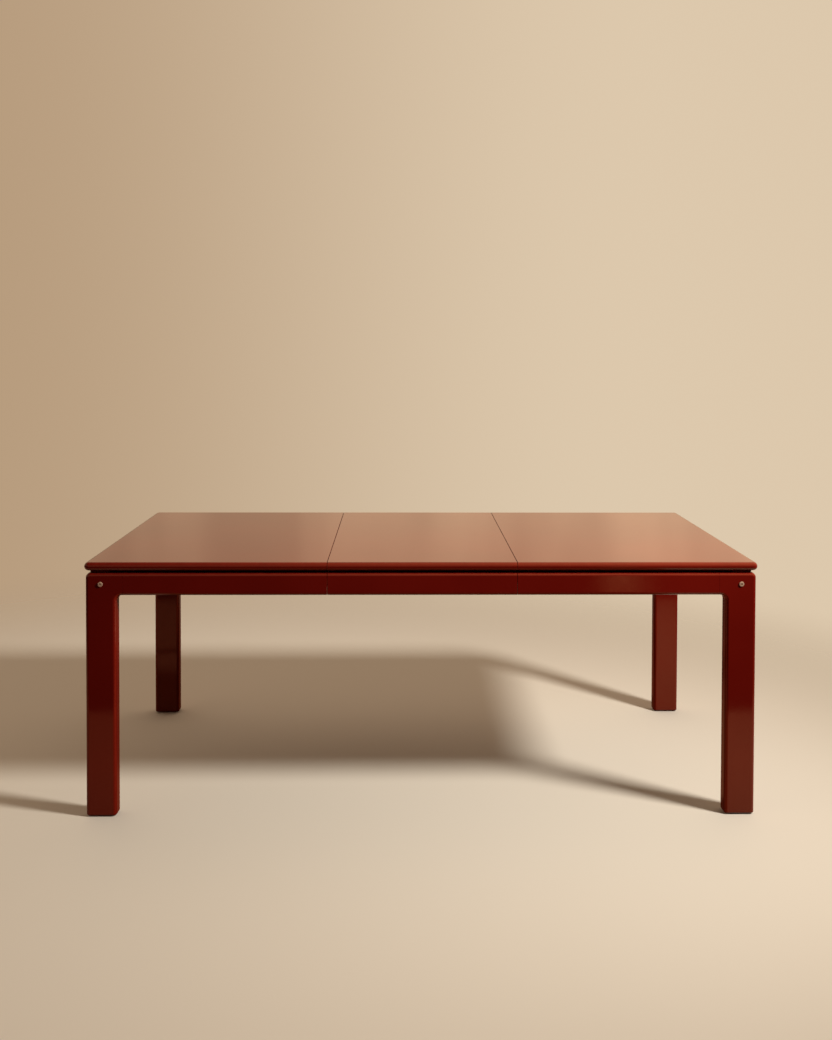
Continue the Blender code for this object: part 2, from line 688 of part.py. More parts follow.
def build_leaf(lacquer, batten, beech):
    leaf = empty("leaf")
    place("leaf_top", leaf_top(lacquer), leaf)
    apron = leaf_apron(lacquer)
    batten_end = LEAF_LENGTH / 2 - CLEAT_END_GAP
    leaf_batten = cleat(-batten_end, batten_end, batten)
    peg = leaf_peg(beech)
    for end, sign in (("front", -1), ("back", 1)):
        place(f"leaf_{end}_apron", apron, leaf, (0, sign * frame_middle_y, 0))
        place(f"leaf_{end}_cleat", leaf_batten, leaf, (0, sign * cleat_middle_y, 0))
        for side, side_sign in (("left", -1), ("right", 1)):
            place(f"leaf_{end}_{side}_peg", peg, leaf,
                  (side_sign * bearer_x, sign * PEG_OFFSET, underside))


def main():
    clear_scene()
    lacquer = surface("red_lacquer", (0.135, 0.006, 0.003), 0.12)
    batten = surface("dark_batten", (0.030, 0.008, 0.005), 0.55)
    beech = surface("beech", (0.520, 0.330, 0.190), 0.55)
    steel = surface("bolt_steel", (0.660, 0.560, 0.460), 0.38, 1.0)
    gear_steel = surface("gear_steel", (0.420, 0.410, 0.390), 0.40, 1.0)
    nylon = surface("nylon", (0.035, 0.030, 0.028), 0.50)
    build_halves(lacquer, batten, beech, steel, gear_steel, nylon)
    build_carriage(beech, gear_steel)
    build_leaf(lacquer, batten, beech)


main()
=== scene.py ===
# Looks of the extending dining table: red lacquer, beech slides, steel fittings and a pale studio.

import json
import math

import bmesh
import bpy
from mathutils import Matrix, Vector


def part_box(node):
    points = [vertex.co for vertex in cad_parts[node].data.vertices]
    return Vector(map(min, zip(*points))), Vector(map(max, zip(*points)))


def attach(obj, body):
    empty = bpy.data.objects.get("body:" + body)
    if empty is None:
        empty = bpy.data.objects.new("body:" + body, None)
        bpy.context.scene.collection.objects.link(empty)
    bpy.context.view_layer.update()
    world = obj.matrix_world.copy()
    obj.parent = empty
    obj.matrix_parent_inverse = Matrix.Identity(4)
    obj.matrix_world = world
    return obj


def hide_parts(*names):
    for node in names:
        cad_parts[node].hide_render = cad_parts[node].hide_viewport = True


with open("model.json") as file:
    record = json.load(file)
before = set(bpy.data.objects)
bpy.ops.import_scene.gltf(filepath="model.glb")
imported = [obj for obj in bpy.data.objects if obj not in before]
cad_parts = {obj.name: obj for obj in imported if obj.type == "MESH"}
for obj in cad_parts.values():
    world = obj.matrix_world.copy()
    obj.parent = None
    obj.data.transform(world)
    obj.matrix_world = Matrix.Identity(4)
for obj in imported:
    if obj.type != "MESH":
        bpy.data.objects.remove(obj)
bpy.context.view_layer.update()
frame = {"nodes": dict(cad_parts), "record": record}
nodes = frame["nodes"]
bodies = frame["record"]["behaviour"]["bodies"]
bodyOf = {node: body for body, members in bodies.items() for node in members}
scene = bpy.context.scene
scene.view_settings.view_transform = "Standard"
print(f"frame: {len(nodes)} nodes on {len(bodies)} bodies")


# small helpers for node trees

noiseSpread = (0.3, 0.7)       # most values of a noise lie between these


def isLink(value):
    return isinstance(value, bpy.types.NodeSocket)


def fill(tree, socket, value):
    if isLink(value):
        tree.links.new(value, socket)
    else:
        socket.default_value = value


def addNode(tree, kind, inputs=None, **settings):
    made = tree.nodes.new(kind)
    for name, value in settings.items():
        setattr(made, name, value)
    for socket, value in (inputs or {}).items():
        fill(tree, made.inputs[socket], value)
    return made


def mixColour(tree, factor, first, second):
    # a Mix node takes its colours at sockets 6 and 7
    mix = addNode(tree, "ShaderNodeMix", {0: factor}, data_type="RGBA")
    for socket, value in ((6, first), (7, second)):
        fill(tree, mix.inputs[socket], value if isLink(value) else (*value, 1))
    return mix.outputs[2]


def mapRange(tree, value, fromLow, fromHigh, toLow=0.0, toHigh=1.0):
    ranged = addNode(tree, "ShaderNodeMapRange", {
        "Value": value, "From Min": fromLow, "From Max": fromHigh, "To Min": toLow, "To Max": toHigh,
    }, interpolation_type="SMOOTHSTEP")
    return ranged.outputs["Result"]


def shaded(tree, colour, factor):
    scaled = addNode(tree, "ShaderNodeVectorMath", {0: colour, "Scale": factor}, operation="SCALE")
    return scaled.outputs[0]


def combine(tree, operation, first, second):
    return addNode(tree, "ShaderNodeMath", {0: first, 1: second}, operation=operation).outputs[0]


def objectCoords(tree, scale=(1, 1, 1)):
    coords = addNode(tree, "ShaderNodeTexCoord")
    mapped = addNode(tree, "ShaderNodeMapping", {"Vector": coords.outputs["Object"], "Scale": scale})
    return mapped.outputs["Vector"]


def noise(tree, vector, scale, detail=2.0, rough=0.5):
    made = addNode(tree, "ShaderNodeTexNoise", {
        "Vector": vector, "Scale": scale, "Detail": detail, "Roughness": rough,
    })
    return made.outputs["Fac"]


def newMaterial(name):
    material = bpy.data.materials.new(name)
    material.use_nodes = True
    tree = material.node_tree
    return material, tree, tree.nodes["Principled BSDF"]


def setRoughness(tree, shader, pattern, limits):
    rough = mapRange(tree, pattern, *noiseSpread, *limits)
    tree.links.new(rough, shader.inputs["Roughness"])


def setBump(tree, shader, height, depth, strength, invert=False):
    bump = addNode(tree, "ShaderNodeBump", {
        "Height": height, "Distance": depth, "Strength": strength,
    }, invert=invert)
    tree.links.new(bump.outputs["Normal"], shader.inputs["Normal"])


# camera, at the photograph's place

photoCamera = {
    "place": (-0.0638, -3.4284, 1.3747),
    "yaw": -0.0146,           # radians, positive turns to the left
    "pitch": 0.0228,          # radians, down
    "roll": 0.0028,
    "imageHeight": 1040,
    "focalPixels": 1036.5,
    "axisRow": 366.6,         # pixel row that the lens axis meets
    "sensor": 36.0,
}


def addCamera(look):
    height = look["imageHeight"]
    lens = bpy.data.cameras.new("photoCamera")
    lens.sensor_width = look["sensor"]
    lens.lens = look["focalPixels"] * look["sensor"] / height
    lens.shift_y = (look["axisRow"] - height / 2) / height
    camera = bpy.data.objects.new("photoCamera", lens)
    turn = Matrix.Rotation(look["yaw"], 4, "Z") @ Matrix.Rotation(math.pi / 2 - look["pitch"], 4, "X")
    turn = turn @ Matrix.Rotation(look["roll"], 4, "Z")
    camera.matrix_world = Matrix.Translation(look["place"]) @ turn
    scene.collection.objects.link(camera)
    scene.camera = camera


addCamera(photoCamera)


# studio: a backdrop all round, a pale floor that fades into it, and one soft key lamp

worldLook = {
    "backdropLeft": (0.470, 0.328, 0.204),     # what the camera sees behind the table, with painted shade at the left
    "backdropRight": (0.722, 0.580, 0.415),
    "backdropTurn": (-0.42, 0.24),     # along X, from the left colour to the right one
    "mirrorBack": (0.965, 0.695, 0.426),       # the backdrop that the gloss mirrors
    "backSides": (0.62, 1.24),         # its brightness at the left and at the right
    "backTurn": (-0.40, 0.45),         # along X
    "streaks": (0.89, 1.13),           # brightness of the soft upright streaks in it
    "streakNoise": (12.0, 2.0),        # scale and detail
    "streakSpread": (0.36, 0.64),
    "streakStretch": 0.12,
    "streakShift": 1.50,
    "backBelow": 0.15,                 # its brightness below the horizon
    "horizon": (-0.03, 0.03),          # along Z
    "mirrorAbove": (1.70, 1.38, 0.86),         # the ceiling
    "aboveSides": (0.06, 1.04),
    "sideTurn": (-0.35, 0.35),         # along X, for the ceiling and the band
    "mirrorFront": (0.014, 0.012, 0.010),      # the dark studio in front
    "glowColour": (1.12, 0.74, 0.45),  # a lit strip of floor far in front, which the right apron shows
    "glowPlace": 0.2055,               # along X
    "glowWidth": 0.0145,
    "glowFade": (0.6, 1.4),            # in widths
    "glowLevel": (-0.06, -0.02),       # along Z
    "mirrorBand": (0.56, 0.56, 0.50),  # low light in front, on rounded edges
    "bandSides": (1.0, 0.2),
    "bandFoot": (-0.04, 0.10),         # along Z
    "bandHead": (0.75, 0.40),
    "behindTurn": (-0.45, 0.35),       # along Y, from the front to the backdrop
    "highInFront": (-0.15, 1.05),      # along Z, up to the ceiling
    "highBehind": (0.35, 0.95),
    "ambientFront": (0.045, 0.031, 0.020),     # soft light from all round
    "ambientBack": (0.72, 0.53, 0.38),
    "ambientTurn": (-0.50, 0.50),      # along Y
    "ambientLeft": (-0.45, -1.0),      # along X
}


def buildWorld(look):
    world = bpy.data.worlds.new("studio")
    scene.world = world
    world.use_nodes = True
    tree = world.node_tree
    direction = addNode(tree, "ShaderNodeTexCoord").outputs["Generated"]
    axes = addNode(tree, "ShaderNodeSeparateXYZ", {"Vector": direction}).outputs
    rays = addNode(tree, "ShaderNodeLightPath").outputs

    def along(axis, limits, levels=(0.0, 1.0)):
        return mapRange(tree, axes[axis], *look[limits], *levels)

    # what the camera sees behind the table, with painted shade at the left
    shown = mixColour(tree, along("X", "backdropTurn"), look["backdropLeft"], look["backdropRight"])
    # what the gloss mirrors: the backdrop behind, a bright ceiling and a dark studio in front
    behind = shaded(tree, look["mirrorBack"], along("X", "backTurn", look["backSides"]))
    upright = addNode(tree, "ShaderNodeMapping", {
        "Vector": direction,
        "Scale": (1.0, 1.0, look["streakStretch"]),
        "Location": (look["streakShift"], 0, 0),
    }).outputs[0]
    streaks = noise(tree, upright, *look["streakNoise"])
    behind = shaded(tree, behind, mapRange(tree, streaks, *look["streakSpread"], *look["streaks"]))
    behind = shaded(tree, behind, along("Z", "horizon", (look["backBelow"], 1.0)))
    above = shaded(tree, look["mirrorAbove"], along("X", "sideTurn", look["aboveSides"]))
    offGlow = combine(tree, "ABSOLUTE", combine(tree, "SUBTRACT", axes["X"], look["glowPlace"]), 0.0)
    full, none = [look["glowWidth"] * share for share in look["glowFade"]]
    glow = mapRange(tree, offGlow, full, none, 1.0, 0.0)
    glow = combine(tree, "MULTIPLY", glow, along("Z", "glowLevel", (1.0, 0.0)))
    front = mixColour(tree, glow, look["mirrorFront"], look["glowColour"])
    band = combine(tree, "MULTIPLY", along("Z", "bandFoot"), along("Z", "bandHead"))
    band = combine(tree, "MULTIPLY", band, along("X", "sideTurn", look["bandSides"]))
    front = mixColour(tree, band, front, look["mirrorBand"])
    isBehind = along("Y", "behindTurn")
    level = mixColour(tree, isBehind, front, behind)
    # a Mix node takes its numbers at sockets 2 and 3
    isHigh = addNode(tree, "ShaderNodeMix", {
        0: isBehind, 2: along("Z", "highInFront"), 3: along("Z", "highBehind"),
    }).outputs[0]
    glossy = mixColour(tree, isHigh, level, above)
    # soft light from all round, most of it from the backdrop and from the left
    isSoft = combine(tree, "MAXIMUM", along("Y", "ambientTurn"), along("X", "ambientLeft"))
    ambient = mixColour(tree, isSoft, look["ambientFront"], look["ambientBack"])
    isMirror = combine(tree, "MAXIMUM", rays["Is Glossy Ray"], rays["Is Transmission Ray"])
    unseen = mixColour(tree, isMirror, ambient, glossy)
    colour = mixColour(tree, rays["Is Camera Ray"], unseen, shown)
    tree.links.new(colour, tree.nodes["Background"].inputs["Color"])


floorLook = {
    "colour": (0.71, 0.660, 0.570),
    "bounce": 0.20,            # the floor gives this share of its light to the table
    "roughness": 0.95,
    "specular": 0.1,
    "radius": 7.0,
    "sides": 96,
    "fadeMiddle": (-0.6, -0.4, 0.0),
    "fadeReach": (1.7, 3.6),   # it fades into the backdrop between these distances
    "mirrorLeft": (0.66, 0.40, 0.33),          # the floor that the gloss shows in front of the table, with painted shade at the left
    "mirrorRight": (0.88, 0.76, 0.63),
    "mirrorTurn": (-1.3, 1.3),         # along X, from the left colour to the right one
    "mirrorBetween": (0.70, 0.20, 0.10),       # painted red reflection in front, between the legs
    "mirrorShadeUnder": (0.25, 0.10, 0.05),         # painted shade under the top
    "underReach": (0.88, -0.43),       # from the middle to the legs' inner sides, and the front legs
    "underBlur": 0.03,
    "mirrorShadeBehind": (0.22, 0.065, 0.035),      # painted shade behind the table
    "behindTurn": (0.40, 0.70),        # along Y
    "mirrorFar": worldLook["mirrorFront"],     # painted dark, far in front
    "farEdge": -1.30,                  # along Y
    "farBlur": 0.06,
}


def buildFloor(look):
    material, tree, shader = newMaterial("paleFloor")
    place = addNode(tree, "ShaderNodeTexCoord").outputs["Object"]
    axes = addNode(tree, "ShaderNodeSeparateXYZ", {"Vector": place}).outputs
    rays = addNode(tree, "ShaderNodeLightPath").outputs
    # what the gloss mirrors is painted: painted shade at the left, under and behind the table, a painted
    # red reflection between the legs, and painted dark far in front
    isRight = mapRange(tree, axes["X"], *look["mirrorTurn"])
    inFront = mixColour(tree, isRight, look["mirrorLeft"], look["mirrorRight"])
    reach, front = look["underReach"]
    aside = combine(tree, "ABSOLUTE", axes["X"], 0.0)
    isBetween = mapRange(tree, aside, reach, reach + look["underBlur"], 1.0, 0.0)
    isUnder = mapRange(tree, axes["Y"], front - look["underBlur"], front)
    between = mixColour(tree, isUnder, look["mirrorBetween"], look["mirrorShadeUnder"])
    inFront = mixColour(tree, isBetween, inFront, between)
    isBehind = mapRange(tree, axes["Y"], *look["behindTurn"])
    glossy = mixColour(tree, isBehind, inFront, look["mirrorShadeBehind"])
    edge, blur = look["farEdge"], look["farBlur"]
    isFar = mapRange(tree, axes["Y"], edge - blur / 2, edge + blur / 2, 1.0, 0.0)
    glossy = mixColour(tree, isFar, glossy, look["mirrorFar"])
    # what lights the table, and what the camera sees
    bounced = [look["bounce"] * part for part in look["colour"]]
    unseen = mixColour(tree, rays["Is Glossy Ray"], bounced, glossy)
    colour = mixColour(tree, rays["Is Camera Ray"], unseen, look["colour"])
    tree.links.new(colour, shader.inputs["Base Color"])
    shader.inputs["Roughness"].default_value = look["roughness"]
    shader.inputs["Specular IOR Level"].default_value = look["specular"]
    # clear far out and from below
    distance = addNode(tree, "ShaderNodeVectorMath", {
        0: place, 1: look["fadeMiddle"],
    }, operation="DISTANCE").outputs["Value"]
    fade = mapRange(tree, distance, *look["fadeReach"])
    fromBelow = addNode(tree, "ShaderNodeNewGeometry").outputs["Backfacing"]
    fade = combine(tree, "MAXIMUM", fade, fromBelow)
    clear = addNode(tree, "ShaderNodeBsdfTransparent")
    blend = addNode(tree, "ShaderNodeMixShader", {0: fade, 1: shader.outputs[0], 2: clear.outputs[0]})
    tree.links.new(blend.outputs[0], tree.nodes["Material Output"].inputs["Surface"])
    disc = bmesh.new()
    bmesh.ops.create_circle(disc, cap_ends=True, segments=look["sides"], radius=look["radius"])
    mesh = bpy.data.meshes.new("studioFloor")
    disc.to_mesh(mesh)
    disc.free()
    mesh.materials.append(material)
    floor = bpy.data.objects.new("studioFloor", mesh)
    scene.collection.objects.link(floor)


keyLook = {
    "place": (2.70, -1.46, 2.67),
    "target": (-0.5, 0.3, 0.70),
    "size": 0.6,
    "spread": 90.0,            # degrees
    "power": 54,
    "colour": (1.0, 0.94, 0.86),
}


def addKeyLamp(look):
    lamp = bpy.data.lights.new("keyLamp", "AREA")
    lamp.shape = "DISK"
    lamp.size = look["size"]
    lamp.energy = look["power"]
    lamp.color = look["colour"]
    lamp.spread = math.radians(look["spread"])
    key = bpy.data.objects.new("keyLamp", lamp)
    key.location = look["place"]
    aim = Vector(look["target"]) - Vector(look["place"])
    key.rotation_euler = aim.to_track_quat("-Z", "Y").to_euler()
    key.visible_glossy = False
    key.visible_camera = False
    scene.collection.objects.link(key)


buildWorld(worldLook)
buildFloor(floorLook)
addKeyLamp(keyLook)
print("studio: camera, world, floor and key lamp")


# finishes: a noise is given by its scale, detail and roughness

lacquerLook = {
    "deep": (0.122, 0.0042, 0.0020),
    "bright": (0.146, 0.0056, 0.0027),
    "drift": (2.4, 3.0, 0.5),          # slow change of tone along a board
    "edge": (0.170, 0.0085, 0.0042),   # painted highlight: lighter where edges are rounded
    "patches": (38.0, 4.0, 0.65),      # the painted highlight, uneven in patches
    "patchSpread": (0.38, 0.68),
    "patchShow": (0.25, 1.0),
    "haze": (14.0, 5.0, 0.6),
    "hazeSpread": (0.32, 0.75),
    "roughness": (0.055, 0.105),       # polished and hazy
    "peel": (190.0, 1.0, 0.5),         # orange peel, about 5 mm across
    "peelDepth": 0.00006,
    "peelStrength": 0.6,
    "refraction": 1.52,
    "tint": (1.0, 0.5, 0.3),           # the film warms what it mirrors head on
}


def redLacquer(look):
    material, tree, shader = newMaterial("redLacquer")
    place = objectCoords(tree)
    drift = noise(tree, place, *look["drift"])
    body = mixColour(tree, mapRange(tree, drift, *noiseSpread), look["deep"], look["bright"])
    # rounded edges get a painted highlight, uneven in patches
    edge = addNode(tree, "ShaderNodeAttribute", attribute_name="edge").outputs["Fac"]
    patches = noise(tree, place, *look["patches"])
    uneven = mapRange(tree, patches, *look["patchSpread"], *look["patchShow"])
    edgeHighlight = combine(tree, "MULTIPLY", edge, uneven)
    tree.links.new(mixColour(tree, edgeHighlight, body, look["edge"]), shader.inputs["Base Color"])
    haze = noise(tree, place, *look["haze"])
    smudge = mapRange(tree, haze, *look["hazeSpread"], *look["roughness"])
    tree.links.new(smudge, shader.inputs["Roughness"])
    peel = noise(tree, place, *look["peel"])
    setBump(tree, shader, peel, look["peelDepth"], look["peelStrength"])
    shader.inputs["IOR"].default_value = look["refraction"]
    shader.inputs["Specular Tint"].default_value = (*look["tint"], 1)
    return material


beechLook = {
    "pale": (0.560, 0.365, 0.205),
    "dark": (0.395, 0.225, 0.110),
    "pore": (0.270, 0.135, 0.060),
    "ringAcross": 46.0,        # growth rings across the grain
    "ringAlong": 1.6,
    "poreAcross": 620.0,
    "poreAlong": 38.0,
    "roughness": (0.42, 0.60),
    "poreDepth": 0.00012,
}
battenLook = {
    "pale": (0.080, 0.011, 0.006),
    "dark": (0.045, 0.008, 0.004),
    "pore": (0.022, 0.005, 0.003),
    "ringAcross": 70.0,
    "ringAlong": 1.2,
    "poreAcross": 480.0,
    "poreAlong": 20.0,
    "roughness": (0.50, 0.72),
    "poreDepth": 0.00015,
}
grainLook = {                  # the same for both woods
    "rings": {"Scale": 1.0, "Detail": 4.0, "Roughness": 0.55, "Distortion": 0.6},
    "ringSpread": (0.34, 0.66),
    "pores": (1.0, 2.0, 0.6),
    "poreSpread": (0.60, 0.72),
    "poreShow": (0.0, 0.8),
    "poreStrength": 0.8,
}


def plankWood(name, look, grain, grainAxis):
    material, tree, shader = newMaterial(name)
    ringScale = [look["ringAcross"]] * 3
    ringScale[grainAxis] = look["ringAlong"]
    poreScale = [look["poreAcross"]] * 3
    poreScale[grainAxis] = look["poreAlong"]
    rings = addNode(tree, "ShaderNodeTexNoise", {
        "Vector": objectCoords(tree, ringScale), **grain["rings"],
    }).outputs["Fac"]
    wood = mixColour(tree, mapRange(tree, rings, *grain["ringSpread"]), look["pale"], look["dark"])
    pores = noise(tree, objectCoords(tree, poreScale), *grain["pores"])
    flecks = mapRange(tree, pores, *grain["poreSpread"], *grain["poreShow"])
    tree.links.new(mixColour(tree, flecks, wood, look["pore"]), shader.inputs["Base Color"])
    setRoughness(tree, shader, rings, look["roughness"])
    setBump(tree, shader, flecks, look["poreDepth"], grain["poreStrength"], invert=True)
    return material


nickelLook = {
    "colour": (0.66, 0.45, 0.33),
    "tarnish": (0.50, 0.33, 0.23),
    "spots": (320.0, 4.0, 0.6),
    "spotSpread": (0.45, 0.72),
    "metallic": 0.55,
    "roughness": (0.34, 0.50),
    "turnedLines": 5200.0,     # turning marks per metre of radius
    "lineDetail": 2.0,
    "lineDepth": 0.00002,
    "lineStrength": 0.5,
}


def satinNickel(look):
    material, tree, shader = newMaterial("satinNickel")
    spots = noise(tree, objectCoords(tree), *look["spots"])
    tone = mixColour(tree, mapRange(tree, spots, *look["spotSpread"]), look["colour"], look["tarnish"])
    tree.links.new(tone, shader.inputs["Base Color"])
    shader.inputs["Metallic"].default_value = look["metallic"]
    radius = addNode(tree, "ShaderNodeAttribute", attribute_name="radius").outputs["Fac"]
    lines = addNode(tree, "ShaderNodeTexNoise", {
        "W": combine(tree, "MULTIPLY", radius, look["turnedLines"]),
        "Scale": 1.0,
        "Detail": look["lineDetail"],
    }, noise_dimensions="1D").outputs["Fac"]
    setRoughness(tree, shader, lines, look["roughness"])
    setBump(tree, shader, lines, look["lineDepth"], look["lineStrength"])
    return material


zincLook = {
    "colour": (0.46, 0.45, 0.43),
    "spangle": (0.33, 0.33, 0.34),
    "spangleScale": 260.0,
    "spangleSpread": (0.1, 0.7),
    "grease": (0.12, 0.10, 0.08),
    "smears": (55.0, 5.0, 0.65),
    "smearSpread": (0.55, 0.75),
    "smearShow": (0.0, 0.7),
    "metallic": 0.9,
    "roughness": (0.30, 0.52),
    "brushing": (14, 900, 900),        # brushed along X
    "brushDepth": 0.00003,
    "brushStrength": 0.5,
}


def dullZinc(look):
    material, tree, shader = newMaterial("dullZinc")
    place = objectCoords(tree)
    cells = addNode(tree, "ShaderNodeTexVoronoi", {
        "Vector": place, "Scale": look["spangleScale"],
    }, feature="F1").outputs["Distance"]
    plate = mixColour(tree, mapRange(tree, cells, *look["spangleSpread"]), look["colour"], look["spangle"])
    smears = noise(tree, place, *look["smears"])
    greasy = mapRange(tree, smears, *look["smearSpread"], *look["smearShow"])
    tree.links.new(mixColour(tree, greasy, plate, look["grease"]), shader.inputs["Base Color"])
    shader.inputs["Metallic"].default_value = look["metallic"]
    brushed = noise(tree, objectCoords(tree, look["brushing"]), 1.0)
    setRoughness(tree, shader, brushed, look["roughness"])
    setBump(tree, shader, brushed, look["brushDepth"], look["brushStrength"])
    return material


nylonLook = {
    "colour": (0.036, 0.031, 0.028),
    "scuff": (0.085, 0.075, 0.066),
    "scuffs": (150.0, 5.0, 0.7),
    "scuffSpread": (0.55, 0.72),
    "scuffShow": (0.0, 0.8),
    "roughness": (0.42, 0.62),
    "grain": (1400.0, 2.0, 0.5),
    "grainDepth": 0.00005,
    "grainStrength": 0.5,
}


def mouldedNylon(look):
    material, tree, shader = newMaterial("mouldedNylon")
    place = objectCoords(tree)
    scuffs = noise(tree, place, *look["scuffs"])
    worn = mapRange(tree, scuffs, *look["scuffSpread"], *look["scuffShow"])
    tree.links.new(mixColour(tree, worn, look["colour"], look["scuff"]), shader.inputs["Base Color"])
    grain = noise(tree, place, *look["grain"])
    setRoughness(tree, shader, grain, look["roughness"])
    setBump(tree, shader, grain, look["grainDepth"], look["grainStrength"])
    return material


lacquer = redLacquer(lacquerLook)
beechAlongX = plankWood("beechAlongX", beechLook, grainLook, 0)
beechAlongY = plankWood("beechAlongY", beechLook, grainLook, 1)
beechAlongZ = plankWood("beechAlongZ", beechLook, grainLook, 2)
stainedBatten = plankWood("stainedBatten", battenLook, grainLook, 0)
nickel = satinNickel(nickelLook)
zinc = dullZinc(zincLook)
nylon = mouldedNylon(nylonLook)
print("finishes: lacquer, beech, batten, nickel, zinc and nylon")


# mesh helpers

meshLook = {
    "sharpAngle": 50,          # degrees, edges that fold more stay crisp
    "mergeDistance": 1e-7,
    "tolerance": 1e-6,         # for points on a plane or an axis
    "normalWeight": 100,       # large faces rule the normals
    "edgeTurn": 0.29,          # 1 - cos 45, halfway between two faces
}


def arc(u, v, radius, start, end, steps):
    angles = [math.radians(start + (end - start) * step / steps) for step in range(steps + 1)]
    return [(u + radius * math.cos(angle), v + radius * math.sin(angle)) for angle in angles]


def rectangle(startX, startY, endX, endY):
    return [(startX, startY), (endX, startY), (endX, endY), (startX, endY)]


def extrude(outline, axis, start, end):
    # the outline is (y, z), (x, z) or (x, y) for axis 0, 1 or 2
    def point(u, v, w):
        return ((w, u, v), (u, w, v), (u, v, w))[axis]

    solid = bmesh.new()
    base = solid.faces.new([solid.verts.new(point(u, v, start)) for u, v in outline])
    swept = bmesh.ops.extrude_face_region(solid, geom=[base])["geom"]
    moved = [item for item in swept if isinstance(item, bmesh.types.BMVert)]
    bmesh.ops.translate(solid, verts=moved, vec=Vector(point(0, 0, end - start)))
    bmesh.ops.recalc_face_normals(solid, faces=solid.faces)
    return solid


def turned(profile, sides):
    # a profile of (radius, height) points about Z
    solid = bmesh.new()
    points = [solid.verts.new((radius, 0, height)) for radius, height in profile]
    edges = [solid.edges.new(pair) for pair in zip(points, points[1:])]
    bmesh.ops.spin(solid, geom=points + edges, axis=(0, 0, 1), cent=(0, 0, 0),
                   angle=math.tau, steps=sides, use_merge=True)
    bmesh.ops.remove_doubles(solid, verts=solid.verts, dist=meshLook["mergeDistance"])
    bmesh.ops.recalc_face_normals(solid, faces=solid.faces)
    return solid


def onPlane(edge, axis, place):
    return all(abs(vert.co[axis] - place) < meshLook["tolerance"] for vert in edge.verts)


def edgesOn(axis, place):
    return lambda edge: onPlane(edge, axis, place)


def roundEdges(solid, isChosen, radius, steps):
    chosen = [edge for edge in solid.edges if isChosen(edge)]
    bmesh.ops.bevel(solid, geom=chosen, offset=radius, segments=steps, profile=0.5,
                    affect="EDGES", clamp_overlap=False)


def mirrored(solid):
    bmesh.ops.scale(solid, vec=(-1, 1, 1), verts=solid.verts)
    bmesh.ops.recalc_face_normals(solid, faces=solid.faces)
    return solid


def newPiece(name, solid, material, sharpAngle=meshLook["sharpAngle"]):
    mesh = bpy.data.meshes.new(name)
    solid.to_mesh(mesh)
    solid.free()
    mesh.materials.append(material)
    mesh.shade_smooth()
    mesh.set_sharp_from_angle(angle=math.radians(sharpAngle))
    piece = bpy.data.objects.new(name, mesh)
    scene.collection.objects.link(piece)
    return piece


def bakeModifiers(piece):
    graph = bpy.context.evaluated_depsgraph_get()
    baked = bpy.data.meshes.new_from_object(piece.evaluated_get(graph))
    piece.modifiers.clear()
    piece.data = baked


def cutAway(piece, solid):
    cutter = newPiece("cutter", solid, piece.data.materials[0])
    cut = piece.modifiers.new("cut", "BOOLEAN")
    cut.object = cutter
    cut.operation = "DIFFERENCE"
    bakeModifiers(piece)
    bpy.data.objects.remove(cutter)


def evenNormals(piece):
    # flat faces keep their own normal, so the gloss stays flat between rounded edges
    weighted = piece.modifiers.new("evenNormals", "WEIGHTED_NORMAL")
    weighted.keep_sharp = True
    weighted.weight = meshLook["normalWeight"]
    bakeModifiers(piece)


def markHighlightEdges(piece):
    # 1 where the surface turns halfway between two faces, 0 on the flats: where the lacquer gets its
    # painted highlight
    values = []
    for normal in piece.data.corner_normals:
        facing = max(abs(part) for part in normal.vector)
        values.append(min(1.0, (1.0 - facing) / meshLook["edgeTurn"]))
    piece.data.attributes.new("edge", "FLOAT", "CORNER").data.foreach_set("value", values)


def standFor(piece, node):
    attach(piece, bodyOf[node])
    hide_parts(node)


def lacquered(name, solid, node, cuts=()):
    piece = newPiece(name, solid, lacquer)
    for cutter in cuts:
        cutAway(piece, cutter)
    piece.data.set_sharp_from_angle(angle=math.radians(meshLook["sharpAngle"]))
    evenNormals(piece)
    markHighlightEdges(piece)
    standFor(piece, node)


# tops: boards with a full bullnose and crisp seams

topLook = {
    "noseFlat": 0.0004,
    "noseSteps": 14,
    "cornerRadius": 0.016,
    "cornerSteps": 14,
    "seamArris": 0.0003,
    "seamSteps": 2,
    "seamEase": (0.0005, 0.0014),      # across and deep, off the upper edge along a seam
    "shadeStripHeight": 0.008,     # painted shade: a dark strip at the foot of each seam, so that no light comes through
    "shadeStripGap": 0.0002,
    "shadeStripInset": 0.014,
}


def nosedBoard(node, outline, seams, look):
    low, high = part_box(node)
    board = extrude(outline, 2, low.z, high.z)

    def isNosed(edge):
        flat = onPlane(edge, 2, low.z) or onPlane(edge, 2, high.z)
        return flat and not any(onPlane(edge, 0, seam) for seam in seams)

    roundEdges(board, isNosed, (high.z - low.z - look["noseFlat"]) / 2, look["noseSteps"])
    for seam in seams:
        roundEdges(board, edgesOn(0, seam), look["seamArris"], look["seamSteps"])
    return board


def seamWedge(node, seam, look):
    # its slope meets the top and the seam's face, and it reaches as far again past both
    low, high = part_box(node)
    across, deep = look["seamEase"]
    toSeam = 1 if seam == high.x else -1
    within, beyond = seam - 2 * toSeam * across, seam + toSeam * across
    outline = [(within, high.z + deep), (beyond, high.z - 2 * deep), (beyond, high.z + deep)]
    return extrude(outline, 1, low.y - across, high.y + across)


